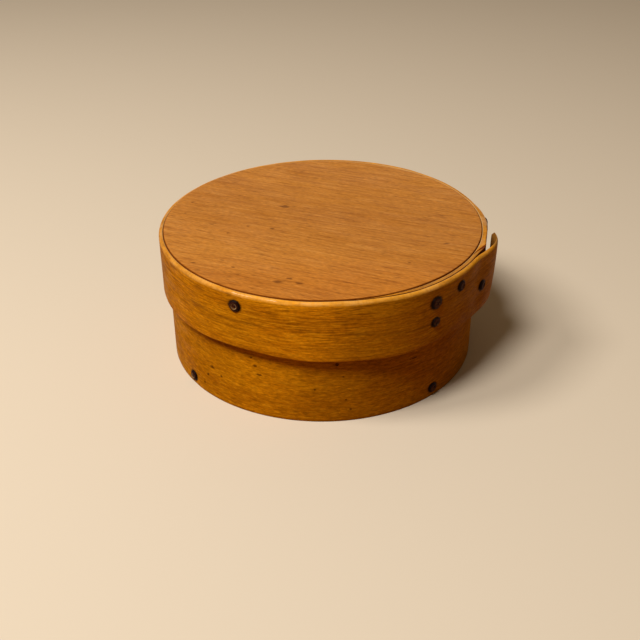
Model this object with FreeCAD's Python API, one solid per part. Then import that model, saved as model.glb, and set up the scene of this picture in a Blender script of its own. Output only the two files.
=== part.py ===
import FreeCAD, Part
import math
import os

# A small round bentwood box with a lift-off lid. The box and the lid are each a
# thin band bent round a flat board, lapped over itself and held with iron tacks.
# Millimetres, +Z up. The origin is where the box's axis meets the surface that
# the box stands on. Angles run counter-clockwise seen from above, from +X.

# heights
total_height = 53.2            # top face of the lid's board
lid_board_thick = 9.0
bottom_board_thick = 7.5
lid_board_proud = 0.4          # board above the top edge of the lid's band
lid_lower_edge = 29.1          # the lid's band ends here when the lid is on

# radii and thicknesses of the two bands
lid_inner_radius = 63.3
box_inner_radius = 60.6
band_thick = 1.7
board_edge_round = 0.5
level_tolerance = 0.001        # an edge within this of one height is level

# Each lap, in degrees along the band and millimetres. The band starts at its
# inner end, goes once round and ends in an outer layer over its own start.
lid_lap = {
    "inner_end": -79.2,        # feathered end under the outer layer
    "outer_end": -6.5,         # free end on the outside
    "scarf": 22.0,             # stretch over which the inner end is shaved down
    "end_scarf": 18.5,         # the same for the outer end
    "inner_thick": 1.7,        # inner layer under the lap
    "outer_thick": 1.7,        # outer layer over the lap
    "feather": 0.2,            # thickness left at the inner end
    "outer_feather": 0.45,     # thickness left at the outer end
    "seam": 0.15,              # open seam between the layers
    "spring_from": -30.0,      # beyond this the outer layer has sprung away
    "spring_peak": -13.0,
    "spring_out": 4.2,
    "hook_in": 1.9,            # the free end curls back by this much
}
box_lap = {
    "inner_end": -8.0,
    "outer_end": 52.0,
    "scarf": 20.0,
    "end_scarf": 14.0,
    "inner_thick": 1.2,
    "outer_thick": 1.25,
    "feather": 0.2,
    "outer_feather": 0.4,
    "seam": 0.1,
    "spring_from": 52.0,
    "spring_peak": 52.0,
    "spring_out": 0.0,
    "hook_in": 0.0,
}
lap_lead = 4.0                 # the outer layer starts to climb this far before the inner end
lap_blend = 12.0               # stretch over which a thinned layer comes back to full
free_corner_round = 2.5
cutter_margin = 0.5
cutter_half_width = 1.2
spline_step = 2.0              # spacing of the points that guide a free curve
arc_span = 110.0               # longest single arc of a round face

# iron tacks
head_radius = 2.45
head_rim = 0.35
head_rise = 1.1
shank_radius = 0.7
point_radius = 0.2
tack_length = 9.5
clench_radius = 0.5            # shank where it comes through the inner face
clench_length = 3.4
clench_thick = 0.5
clench_width = 1.1
clench_tip_width = 0.44
fit_gap = 0.02                 # between a tack's head or bent point and the wood

# tacks as (angle, height)
lid_rim_places = [(-118.6, 47.4), (4.5, 49.5), (84.0, 48.3), (163.0, 47.8), (-52.1, 45.8), (-40.1, 47.3)]
lid_lap_places = [(-51.9, 37.7), (-25.0, 39.6)]
box_bottom_places = [(-144.5, 3.4), (-46.8, 3.7), (70.0, 3.8), (140.0, 3.6)]
box_lap_places = [(14.0, 21.5), (15.0, 12.0), (33.0, 16.5)]

lid_band_top = total_height - lid_board_proud
lid_board_under = total_height - lid_board_thick
full_turn = 360.0


def smooth(t):
    t = min(max(t, 0.0), 1.0)
    return t * t * (3.0 - 2.0 * t)


def polar(radius, degrees, z=0.0):
    angle = math.radians(degrees)
    return FreeCAD.Vector(radius * math.cos(angle), radius * math.sin(angle), z)


def end_of(lap):
    return lap["outer_end"] + full_turn


def thickness(lap, degrees):
    """Thickness of the band at a running angle from its inner end to its outer end."""
    inner_end = lap["inner_end"]
    shaved = lap["inner_thick"] - lap["feather"]
    thick = lap["feather"] + shaved * smooth((degrees - inner_end) / lap["scarf"])
    back_to_full = band_thick - lap["inner_thick"]
    thick += back_to_full * smooth((degrees - lap["outer_end"]) / lap_blend)
    to_outer = lap["outer_thick"] - band_thick
    over_from = inner_end + full_turn - lap_blend
    thick += to_outer * smooth((degrees - over_from) / (lap_blend + lap["scarf"]))
    to_feather = lap["outer_feather"] - lap["outer_thick"]
    thin_from = end_of(lap) - lap["end_scarf"]
    return thick + to_feather * smooth((degrees - thin_from) / lap["end_scarf"])


def spring(lap, degrees):
    """How far the free end of the outer layer has sprung away from the layer under it."""
    if lap["spring_out"] == 0.0:
        return 0.0
    rise = lap["spring_peak"] - lap["spring_from"]
    curl = lap["outer_end"] - lap["spring_peak"]
    out = lap["spring_out"] * smooth((degrees - lap["spring_from"]) / rise)
    past = max(degrees - lap["spring_peak"], 0.0) / curl
    return out - lap["hook_in"] * past * past


def inner_face(radius, lap, degrees):
    """Radius of the band's inner face at a running angle."""
    over = degrees - full_turn
    climb = smooth((over - lap["inner_end"] + lap_lead) / lap_lead)
    if climb == 0.0:
        return radius
    shaved = lap["inner_thick"] - lap["feather"]
    growth = shaved * smooth((over - lap["inner_end"]) / lap["scarf"])
    stand_off = (lap["feather"] + lap["seam"]) * climb
    return radius + stand_off + growth + spring(lap, over)


def outer_face(radius, lap, degrees):
    return inner_face(radius, lap, degrees) + thickness(lap, degrees)


def free_curve(face, radius, lap, start, end):
    """A spline along one face of the band between two running angles."""
    count = max(int(round(abs(end - start) / spline_step)), 2)
    step = (end - start) / count
    points = [polar(face(radius, lap, start + step * i), start + step * i) for i in range(count + 1)]
    curve = Part.BSplineCurve()
    curve.interpolate(points)
    return curve.toShape()


def round_curve(radius, start, end):
    """Arcs of one radius between two running angles, each under a third of a turn."""
    count = int(abs(end - start) // arc_span) + 1
    step = (end - start) / count
    arcs = []
    for i in range(count):
        a = start + step * i
        arcs.append(Part.Arc(polar(radius, a), polar(radius, a + step / 2.0), polar(radius, a + step)).toShape())
    return arcs


def bent_band(radius, lap, low, high):
    """A strip bent once round and lapped over its own start."""
    start = lap["inner_end"]
    end = end_of(lap)
    climb_from = start + full_turn - lap_lead
    full_from = start + lap["scarf"]
    full_to = climb_from
    if lap["inner_thick"] < band_thick:
        full_from = lap["outer_end"] + lap_blend
        full_to = start + full_turn - lap_blend
    edges = round_curve(radius, start, climb_from)
    edges.append(free_curve(inner_face, radius, lap, climb_from, end))
    edges.append(Part.makeLine(polar(inner_face(radius, lap, end), end), polar(outer_face(radius, lap, end), end)))
    edges.append(free_curve(outer_face, radius, lap, end, full_to))
    edges += round_curve(radius + band_thick, full_to, full_from)
    edges.append(free_curve(outer_face, radius, lap, full_from, start))
    edges.append(Part.makeLine(polar(outer_face(radius, lap, start), start), polar(radius, start)))
    outline = Part.Face(Part.Wire(edges))
    outline.translate(FreeCAD.Vector(0, 0, low))
    return outline.extrude(FreeCAD.Vector(0, 0, high - low))


def corner_cutter(tip, along, edge_z, inward):
    """What a rounded corner leaves away, on a level edge at edge_z with the wood on the inward side."""
    reach = FreeCAD.Vector(along) * free_corner_round
    clear = FreeCAD.Vector(along) * cutter_margin
    rise = FreeCAD.Vector(0, 0, inward * free_corner_round)
    above = FreeCAD.Vector(0, 0, -inward * cutter_margin)
    edge = FreeCAD.Vector(tip.x, tip.y, edge_z)
    centre = edge - reach + rise
    middle = centre + (reach - rise) * math.cos(math.radians(45.0))
    outline = Part.Wire([
        Part.Arc(edge - reach, middle, edge + rise).toShape(),
        Part.makeLine(edge + rise, edge + rise + clear),
        Part.makeLine(edge + rise + clear, edge + clear + above),
        Part.makeLine(edge + clear + above, edge - reach + above),
        Part.makeLine(edge - reach + above, edge - reach),
    ])
    across = FreeCAD.Vector(-along.y, along.x, 0) * cutter_half_width
    face = Part.Face(outline)
    face.translate(across * -1)
    return face.extrude(across * 2)


def round_free_corners(band, radius, lap, low, high):
    """Round the upper and lower corners of the band's free outer end."""
    end = end_of(lap)
    inside = end - math.degrees(free_corner_round / radius)
    tip = polar((inner_face(radius, lap, end) + outer_face(radius, lap, end)) / 2.0, end)
    back = polar((inner_face(radius, lap, inside) + outer_face(radius, lap, inside)) / 2.0, inside)
    along = (tip - back).normalize()
    return band.cut(corner_cutter(tip, along, high, -1)).cut(corner_cutter(tip, along, low, 1))


def round_board(radius, low, high, rounded_z):
    board = Part.makeCylinder(radius, high - low, FreeCAD.Vector(0, 0, low))
    rims = []
    for edge in board.Edges:
        span = edge.BoundBox
        level = max(abs(span.ZMin - rounded_z), span.ZLength) < level_tolerance
        if edge.Closed and level:
            rims.append(edge)
    return board.makeFillet(board_edge_round, rims)


def tack_head():
    """A domed head on the +X axis with its flat underside at the origin."""
    outward = FreeCAD.Vector(1, 0, 0)
    dome_rise = head_rise - head_rim
    dome_radius = (head_radius ** 2 + dome_rise ** 2) / (2.0 * dome_rise)
    disc = Part.makeCylinder(head_radius, head_rise, FreeCAD.Vector(0, 0, 0), outward)
    ball = Part.makeSphere(dome_radius, FreeCAD.Vector(head_rise - dome_radius, 0, 0), outward)
    return disc.common(ball)


def place_tack(shape, seat, degrees, height):
    """Move a shape made on the +X axis to its seat on the band, pointing at the box's axis."""
    placed = shape.copy()
    placed.translate(FreeCAD.Vector(seat, 0, height))
    placed.rotate(FreeCAD.Vector(0, 0, 0), FreeCAD.Vector(0, 0, 1), degrees)
    return placed


def tapered_shank(length, end_radius):
    """A shank along -X from the underside of the head."""
    inward = FreeCAD.Vector(-1, 0, 0)
    return Part.makeCone(shank_radius, end_radius, length, FreeCAD.Vector(0, 0, 0), inward)


def clenched_point(face):
    """The point of a tack, bent down flat along the inner face of a lap."""
    half = clench_width / 2.0
    tip = clench_tip_width / 2.0
    corners = [
        FreeCAD.Vector(face, -half, clench_radius),
        FreeCAD.Vector(face, half, clench_radius),
        FreeCAD.Vector(face, tip, -clench_length),
        FreeCAD.Vector(face, -tip, -clench_length),
    ]
    outline = Part.makePolygon(corners + corners[:1])
    return Part.Face(outline).extrude(FreeCAD.Vector(-clench_thick, 0, 0))


def running_angle(lap, degrees):
    """The same direction counted along the band, on its outermost layer."""
    if degrees + full_turn <= end_of(lap):
        return degrees + full_turn
    return degrees


def seat_radius(radius, lap, degrees):
    """Where the underside of a tack's head sits, just clear of the band's outer face."""
    spread = math.degrees(head_radius / radius)
    around = [degrees - spread, degrees, degrees + spread]
    return fit_gap + max(outer_face(radius, lap, running_angle(lap, angle)) for angle in around)


def straight_tacks(places, radius, lap):
    """Tacks driven through the band into the edge of a board, and their shanks alone."""
    shank = tapered_shank(tack_length, point_radius)
    tack = tack_head().fuse(shank).Solids[0]
    seats = [(seat_radius(radius, lap, angle), angle, height) for angle, height in places]
    return [place_tack(tack, *seat) for seat in seats], [place_tack(shank, *seat) for seat in seats]


def clenched_tacks(places, radius, lap):
    """Tacks driven through both layers of a lap and bent over inside, and their shanks alone."""
    tacks = []
    shanks = []
    for angle, height in places:
        seat = seat_radius(radius, lap, angle)
        through = seat - radius
        shank = tapered_shank(through + clench_thick / 2.0, clench_radius)
        tack = tack_head().fuse([shank, clenched_point(-through - fit_gap)]).Solids[0]
        tacks.append(place_tack(tack, seat, angle, height))
        shanks.append(place_tack(shank, seat, angle, height))
    return tacks, shanks


def drilled(shape, shanks):
    """The wood with the tacks' own holes in it."""
    for shank in shanks:
        shape = shape.cut(shank)
    return shape.Solids[0]


def save(name, shape):
    shape.exportStep("parts/" + name + ".step")
    print(name, "solids", len(shape.Solids), "valid", shape.isValid(), "mm3", round(shape.Volume, 1))


os.makedirs("parts", exist_ok=True)

lid_rim_tacks, lid_rim_shanks = straight_tacks(lid_rim_places, lid_inner_radius, lid_lap)
lid_lap_tacks, lid_lap_shanks = clenched_tacks(lid_lap_places, lid_inner_radius, lid_lap)
box_bottom_tacks, box_bottom_shanks = straight_tacks(box_bottom_places, box_inner_radius, box_lap)
box_lap_tacks, box_lap_shanks = clenched_tacks(box_lap_places, box_inner_radius, box_lap)

lid_band = bent_band(lid_inner_radius, lid_lap, lid_lower_edge, lid_band_top)
lid_band = round_free_corners(lid_band, lid_inner_radius, lid_lap, lid_lower_edge, lid_band_top)
box_band = bent_band(box_inner_radius, box_lap, 0.0, lid_board_under)
lid_board = round_board(lid_inner_radius, lid_board_under, total_height, total_height)
bottom_board = round_board(box_inner_radius, 0.0, bottom_board_thick, bottom_board_thick)

save("box_band", drilled(box_band, box_bottom_shanks + box_lap_shanks))
save("box_bottom", drilled(bottom_board, box_bottom_shanks))
save("box_bottom_tacks", Part.makeCompound(box_bottom_tacks))
save("box_lap_tacks", Part.makeCompound(box_lap_tacks))
save("lid_band", drilled(lid_band, lid_rim_shanks + lid_lap_shanks))
save("lid_top", drilled(lid_board, lid_rim_shanks))
save("lid_rim_tacks", Part.makeCompound(lid_rim_tacks))
save("lid_lap_tacks", Part.makeCompound(lid_lap_tacks))
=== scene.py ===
import math
import random

import bmesh
import bpy
from mathutils import Matrix, Vector, noise


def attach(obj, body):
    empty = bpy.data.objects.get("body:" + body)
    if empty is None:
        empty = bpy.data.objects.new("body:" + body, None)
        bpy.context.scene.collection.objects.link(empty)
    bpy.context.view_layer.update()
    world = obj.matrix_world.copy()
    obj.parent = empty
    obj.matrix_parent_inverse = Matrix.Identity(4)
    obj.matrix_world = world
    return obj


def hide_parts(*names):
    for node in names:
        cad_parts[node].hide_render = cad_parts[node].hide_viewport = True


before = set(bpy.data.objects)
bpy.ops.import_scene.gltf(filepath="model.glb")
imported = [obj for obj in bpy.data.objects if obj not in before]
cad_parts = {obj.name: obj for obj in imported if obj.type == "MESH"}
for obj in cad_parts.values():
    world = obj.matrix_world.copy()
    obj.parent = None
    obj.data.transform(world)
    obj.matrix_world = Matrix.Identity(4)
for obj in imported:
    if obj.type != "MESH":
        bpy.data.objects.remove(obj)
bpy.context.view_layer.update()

# A round bentwood box: two thin bands bent round flat boards and tacked.
# Lengths in the dictionaries are millimetres unless a note says metres, angles are degrees
# seen from above, and the scales of noises are per metre.
mm = 0.001
fullTurn = 360.0
hair = 0.02 * mm  # how near a corner has to be to count as on an edge
woodCrease = 38.0  # edges of the wood that turn less than this are shaded smooth


def deselectAll():
    if bpy.context.object and bpy.context.object.mode != "OBJECT":
        bpy.ops.object.mode_set(mode="OBJECT")
    bpy.ops.object.select_all(action="DESELECT")


def pick(kind, wanted):
    # selects the vertices, edges or faces of the edited piece that pass the test
    bpy.ops.mesh.select_mode(type=kind)
    bpy.ops.mesh.select_all(action="DESELECT")
    mesh = bmesh.from_edit_mesh(bpy.context.object.data)
    items = {"VERT": mesh.verts, "EDGE": mesh.edges, "FACE": mesh.faces}[kind]
    for item in items:
        if wanted(item):
            item.select_set(True)
    bmesh.update_edit_mesh(bpy.context.object.data)


def edgeAt(axis, value, axis2=None, value2=0.0):
    # a test for edges that lie at one place along one axis, or along two
    def wanted(edge):
        for vertex in edge.verts:
            if abs(vertex.co[axis] - value) > hair:
                return False
            if axis2 is not None and abs(vertex.co[axis2] - value2) > hair:
                return False
        return True
    return wanted


def applyModifiers(piece):
    deselectAll()
    piece.select_set(True)
    bpy.context.view_layer.objects.active = piece
    for modifier in list(piece.modifiers):
        bpy.ops.object.modifier_apply(modifier=modifier.name)


def shadeSmooth(piece, angle):
    deselectAll()
    piece.select_set(True)
    bpy.context.view_layer.objects.active = piece
    bpy.ops.object.shade_smooth_by_angle(angle=math.radians(angle))


def joinPieces(pieces, name):
    deselectAll()
    for piece in pieces:
        piece.select_set(True)
    bpy.context.view_layer.objects.active = pieces[0]
    if len(pieces) > 1:
        bpy.ops.object.join()
    joined = bpy.context.object
    joined.name = name
    joined.data.name = name
    return joined


def fitToFrame(piece, body, slotName, *nodes):
    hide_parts(*nodes)
    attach(piece, body)


def smooth(t):
    t = min(max(t, 0.0), 1.0)
    return t * t * (3.0 - 2.0 * t)


def bumps(places, degrees):
    # soft rises and dips, each as (angle, height, width)
    return sum(rise * math.exp(-((degrees - angle) / width) ** 2) for angle, rise, width in places)


# the two laps, as the wood was cut and bent
lidLap = {
    "innerEnd": -79.2, "outerEnd": -6.5, "scarf": 22.0, "endScarf": 18.5,
    "innerThick": 1.7, "outerThick": 1.7, "feather": 0.2, "outerFeather": 0.45, "seam": 0.15,
    "springFrom": -30.0, "springPeak": -13.0, "springOut": 4.2, "hookIn": 1.9,
}
boxLap = {
    "innerEnd": -8.0, "outerEnd": 52.0, "scarf": 20.0, "endScarf": 14.0,
    "innerThick": 1.2, "outerThick": 1.25, "feather": 0.2, "outerFeather": 0.4, "seam": 0.1,
    "springFrom": 52.0, "springPeak": 52.0, "springOut": 0.0, "hookIn": 0.0,
}
lapLead = 4.0
outerLead = 16.0  # the outer face climbs more gently than the inner one
outerRest = 6.0  # and this far past the end under it
lapBlend = 12.0
bandThick = 1.7
handWork = {  # what both bands share: wobble, dimples round tacks, nicked edges, rounded corners
    "wobbleRound": 2.2, "wobbleUp": 1.3, "wobbleInside": 0.3,
    "dimpleFlat": 2.2, "dimpleFade": 3.0, "dimpleReach": 7.0,
    "nicksAlong": 90.0, "nicksUp": 3.0, "nickDepth": 0.08, "topWorn": 0.06, "edgeOnly": 6,
    "squareUnder": 4.0, "squareFade": 6.0, "cornerLength": 3.0, "innerShare": 0.2,
}


def thicknessAt(lap, degrees):
    scarfed = smooth((degrees - lap["innerEnd"]) / lap["scarf"])
    thick = lap["feather"] + (lap["innerThick"] - lap["feather"]) * scarfed
    thick += (bandThick - lap["innerThick"]) * smooth((degrees - lap["outerEnd"]) / lapBlend)
    overFrom = lap["innerEnd"] + fullTurn - lapBlend
    thick += (lap["outerThick"] - bandThick) * smooth((degrees - overFrom) / (lapBlend + lap["scarf"]))
    thinFrom = lap["outerEnd"] + fullTurn - lap["endScarf"]
    return thick + (lap["outerFeather"] - lap["outerThick"]) * smooth((degrees - thinFrom) / lap["endScarf"])


def springAt(lap, over):
    if lap["springOut"] == 0.0:
        return 0.0
    out = lap["springOut"] * smooth((over - lap["springFrom"]) / (lap["springPeak"] - lap["springFrom"]))
    past = max(over - lap["springPeak"], 0.0) / (lap["outerEnd"] - lap["springPeak"])
    return out - lap["hookIn"] * past * past


def faceRadius(plan, degrees, level, depth):
    # radius of the wood at a running angle; level is 0 at the lower edge and 1 at the
    # upper one, depth is 0 on the inner face and 1 on the outer one
    lap = plan["lap"]
    over = degrees - fullTurn
    radius = plan["innerRadius"]
    climbed = smooth((over - lap["innerEnd"] + lapLead) / lapLead) * (1.0 - depth)
    climbed += smooth((over - lap["innerEnd"] + outerLead) / (outerLead + outerRest)) * depth
    radius += (lap["feather"] + lap["seam"]) * climbed
    if over > lap["innerEnd"]:
        radius += (lap["innerThick"] - lap["feather"]) * smooth((over - lap["innerEnd"]) / lap["scarf"])
        radius += springAt(lap, over) * (1.0 - plan["lowFlareLoss"] * (1.0 - level) ** 2)
    radius += bumps(plan["bulges"], degrees) * depth + bumps(plan["fuller"], degrees)
    turn = math.radians(degrees)
    wide, tall = handWork["wobbleRound"], handWork["wobbleUp"]
    wobble = noise.noise(Vector((math.cos(turn) * wide, math.sin(turn) * wide, level * tall + plan["seed"])))
    radius += plan["wobble"] * (wobble - 1.0) * min(1.0, 2.0 * depth + handWork["wobbleInside"])
    return radius + depth * thicknessAt(lap, degrees)


def runningAngle(lap, degrees):
    # the same direction on the outermost layer
    return degrees + fullTurn if degrees <= lap["outerEnd"] else degrees


def alongAt(plan, running):
    # metres along the flat strip at a running angle
    return math.radians(running - plan["lap"]["innerEnd"]) * (plan["innerRadius"] + bandThick / 2.0) * mm


def outerAlong(plan, degrees):
    # the same for a direction seen from above, on the outermost layer
    return alongAt(plan, runningAngle(plan["lap"], degrees))


lidBandPlan = {
    "lap": lidLap, "innerRadius": 63.3, "low": 29.1, "high": 52.8, "seed": 3.0,
    "step": 1.0, "rows": 20, "margin": 2.0,
    "outerTop": (1.25, 6), "innerTop": (0.3, 3), "outerLow": (0.45, 3), "innerLow": (0.3, 3),
    "lowWave": [(243.0, 0.8, 15.0), (268.0, -0.7, 12.0), (291.0, -1.1, 13.0), (60.0, 0.5, 26.0),
                (150.0, -0.5, 22.0), (190.0, 0.3, 12.0), (332.0, -0.8, 10.0)],
    "topWave": [(72.0, 0.36, 44.0), (150.0, -0.22, 24.0), (215.0, -0.12, 9.0), (262.0, -0.1, 8.0)],
    "bulges": [(3.0, 1.1, 9.0), (-8.0, 0.1, 6.0), (-19.0, 1.0, 4.5)], "fuller": [(35.0, 1.3, 42.0)],
    "squareTop": [(80.0, 0.9, 68.0)],
    "wobble": 0.12, "lowFlareLoss": 0.28, "cornerTop": 3.2, "cornerLow": 10.0,
    "tacks": [(-118.6, 47.4), (4.5, 49.5), (84.0, 48.3), (163.0, 47.8), (-52.1, 45.8), (-40.1, 47.3),
              (-51.9, 37.7), (-25.0, 39.6)],
    "headSizes": [0.97, 0.98, 1.0, 0.95, 1.02, 0.86, 0.8, 0.88],
    "dimple": 0.16,
}
boxBandPlan = {
    "lap": boxLap, "innerRadius": 60.6, "low": 0.0, "high": 44.2, "seed": 11.0,
    "step": 1.0, "rows": 40, "margin": 1.2,
    "outerTop": (0.5, 3), "innerTop": (0.45, 3), "outerLow": (0.2, 2), "innerLow": (0.2, 2),
    "lowWave": [],
    "topWave": [(40.0, -0.4, 20.0), (200.0, -0.3, 30.0), (290.0, -0.35, 18.0)],
    "bulges": [], "fuller": [], "squareTop": [],
    "wobble": 0.05, "lowFlareLoss": 0.0, "cornerTop": 1.0, "cornerLow": 1.0,
    "tacks": [(-144.5, 3.4), (-46.8, 3.7), (70.0, 3.8), (140.0, 3.6), (14.0, 21.5), (15.0, 12.0),
              (33.0, 16.5)],
    "headSizes": [0.9, 0.88, 0.95, 0.9, 0.9, 0.95, 0.88],
    "dimple": 0.14,
}


def cutStrip(name, plan):
    # the flat strip: length on X, height on Y, thickness on Z
    lap = plan["lap"]
    length = alongAt(plan, lap["outerEnd"] + fullTurn)
    low, high, margin = plan["low"] * mm, plan["high"] * mm, plan["margin"] * mm
    thick = bandThick * mm
    columns = round(length / (plan["step"] * mm))
    deselectAll()
    bpy.ops.mesh.primitive_grid_add(x_subdivisions=columns, y_subdivisions=plan["rows"], size=1.0,
                                    calc_uvs=False, location=(0, 0, 0))
    strip = bpy.context.object
    strip.name = name
    strip.data.name = name
    bpy.ops.object.mode_set(mode="EDIT")
    bpy.ops.mesh.select_all(action="SELECT")
    bpy.ops.transform.resize(value=(length - 2 * margin, high - low - 2 * margin, 1.0))
    bpy.ops.transform.translate(value=(length / 2.0, (high + low) / 2.0, 0.0))
    edges = ((0, margin, -1), (0, length - margin, 1), (1, low + margin, -1), (1, high - margin, 1))
    for axis, start, way in edges:
        pick("EDGE", edgeAt(axis, start))
        move = [0.0, 0.0, 0.0]
        move[axis] = way * margin
        bpy.ops.mesh.extrude_edges_move(TRANSFORM_OT_translate={"value": move})
    bpy.ops.mesh.select_all(action="SELECT")
    bpy.ops.mesh.extrude_region_move(TRANSFORM_OT_translate={"value": (0.0, 0.0, thick)})
    bpy.ops.mesh.select_all(action="SELECT")
    bpy.ops.mesh.normals_make_consistent(inside=False)
    for edge, level, depth in (("outerTop", high, thick), ("innerTop", high, 0.0),
                               ("outerLow", low, thick), ("innerLow", low, 0.0)):
        offset, segments = plan[edge]
        pick("EDGE", edgeAt(1, level, 2, depth))
        bpy.ops.mesh.bevel(offset=offset * mm, segments=segments, affect="EDGES", clamp_overlap=True)
    bpy.ops.object.mode_set(mode="OBJECT")
    return strip


def squareOff(up, deep, plan, share):
    # takes a point on the rounded upper outer edge back out to the square corner
    radius = plan["outerTop"][0] * mm
    rise = up - (plan["high"] * mm - radius)
    out = deep - (bandThick * mm - radius)
    if rise <= 0.0 or out <= 0.0:
        return up, deep
    grow = 1.0 + (radius / max(rise, out) - 1.0) * share
    return up + rise * (grow - 1.0), deep + out * (grow - 1.0)


def bendStrip(strip, plan):
    # bends the strip round the box and lets it keep its flat coordinates for the grain
    lap = plan["lap"]
    work = handWork
    mesh = strip.data
    place = mesh.attributes.new("woodPlace", "FLOAT_VECTOR", "POINT")
    length = alongAt(plan, lap["outerEnd"] + fullTurn)
    perMetre = (lap["outerEnd"] + fullTurn - lap["innerEnd"]) / length
    low, high = plan["low"], plan["high"]
    tacks = [(runningAngle(lap, angle), height) for angle, height in plan["tacks"]]
    for index, vertex in enumerate(mesh.vertices):
        along, up, deep = vertex.co
        place.data[index].vector = (along, up, deep)
        degrees = lap["innerEnd"] + along * perMetre
        # only the outermost layer was rounded over, so the layer under the lap is square
        underLap = smooth((lap["outerEnd"] + work["squareUnder"] - degrees) / work["squareFade"])
        square = max(underLap, bumps(plan["squareTop"], degrees))
        if square > 0.0:
            up, deep = squareOff(up, deep, plan, square)
        height = up / mm
        level = (height - low) / (high - low)
        for fromEdge, corner in ((high - height, plan["cornerTop"]), (height - low, plan["cornerLow"])):
            if fromEdge < corner:  # the free end's corners are rounded
                cut = corner - math.sqrt(max(corner ** 2 - (corner - fromEdge) ** 2, 0.0))
                reach = work["cornerLength"] * corner * mm
                along -= cut * mm * smooth((along - length + reach) / reach)
        degrees = lap["innerEnd"] + along * perMetre
        depth = deep / (bandThick * mm)
        radius = faceRadius(plan, degrees, level, depth)
        for angle, tackHeight in tacks:
            side = math.radians(degrees - angle) * plan["innerRadius"]
            if max(abs(side), abs(height - tackHeight)) < work["dimpleReach"]:
                reach = math.hypot(side, height - tackHeight)
                pressed = 1.0 - smooth((reach - work["dimpleFlat"]) / work["dimpleFade"])
                radius -= plan["dimple"] * depth * pressed
        height += bumps(plan["lowWave"], degrees) * (1.0 - level) ** 2
        height += bumps(plan["topWave"], degrees) * level ** 2
        turn = math.radians(degrees)
        nicks = noise.noise(Vector((along * work["nicksAlong"], level * work["nicksUp"], plan["seed"])))
        atTop, atFoot = level ** work["edgeOnly"], (1.0 - level) ** work["edgeOnly"]
        height += work["nickDepth"] * nicks * (atTop - atFoot) - work["topWorn"] * atTop
        height = max(height, 0.0)
        vertex.co = (radius * math.cos(turn) * mm, radius * math.sin(turn) * mm, height * mm)
    for polygon in mesh.polygons:
        depths = [place.data[i].vector[2] for i in polygon.vertices]
        polygon.material_index = 1 if max(depths) < work["innerShare"] * bandThick * mm else 0
    deselectAll()
    strip.select_set(True)
    bpy.context.view_layer.objects.active = strip
    bpy.ops.object.mode_set(mode="EDIT")
    bpy.ops.mesh.select_all(action="SELECT")
    bpy.ops.mesh.normals_make_consistent(inside=False)
    bpy.ops.object.mode_set(mode="OBJECT")
    shadeSmooth(strip, woodCrease)


pinHolePlan = {
    "angle": -85.1, "height": 25.7, "radius": 0.85, "depth": 1.1,
    "narrow": 0.6, "wide": 1.15, "drill": 2.4, "sides": 14,  # the drill is a cone with its thin end inward
}


def boreHole(strip, plan, hole):
    # a small round hole in the outer face of the flat strip
    deselectAll()
    bpy.ops.mesh.primitive_cone_add(
        vertices=hole["sides"], radius1=hole["radius"] * hole["narrow"] * mm,
        radius2=hole["radius"] * hole["wide"] * mm, depth=hole["drill"] * mm,
        location=(outerAlong(plan, hole["angle"]), hole["height"] * mm,
                  (bandThick - hole["depth"] + hole["drill"] / 2.0) * mm))
    drill = bpy.context.object
    modifier = strip.modifiers.new("hole", "BOOLEAN")
    modifier.operation = "DIFFERENCE"
    modifier.solver = "EXACT"
    modifier.object = drill
    applyModifiers(strip)
    bpy.data.objects.remove(drill)


lidBand = cutStrip("lidBandWood", lidBandPlan)
bendStrip(lidBand, lidBandPlan)
boxBand = cutStrip("boxBandWood", boxBandPlan)
boreHole(boxBand, boxBandPlan, pinHolePlan)
bendStrip(boxBand, boxBandPlan)
print("bands bent", len(lidBand.data.polygons), len(boxBand.data.polygons))


boardWork = {  # how both boards were cut and planed
    "rim": 0.1, "edgeSegments": 5, "edgeCuts": 4, "swellAlong": 35.0, "swellAcross": 60.0,
}
lidBoardPlan = {
    "radius": 63.3, "low": 44.2, "high": 53.2, "edge": 0.55, "rings": 44, "steps": 224, "seed": 5.0,
    "gap": 0.02,
    "gapMore": [(-82.0, 0.08, 12.0), (-45.0, 0.08, 22.0), (175.0, 0.11, 30.0), (-172.0, 0.1, 30.0)],
    "fuller": [(35.0, 1.2, 42.0)], "unevenTop": 0.07,
}
boxBottomPlan = {
    "radius": 60.6, "low": 0.0, "high": 7.5, "edge": 0.5, "rings": 40, "steps": 208, "seed": 9.0,
    "gap": 0.08, "gapMore": [(30.0, 0.12, 40.0)], "fuller": [], "unevenTop": 0.05,
}


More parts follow.
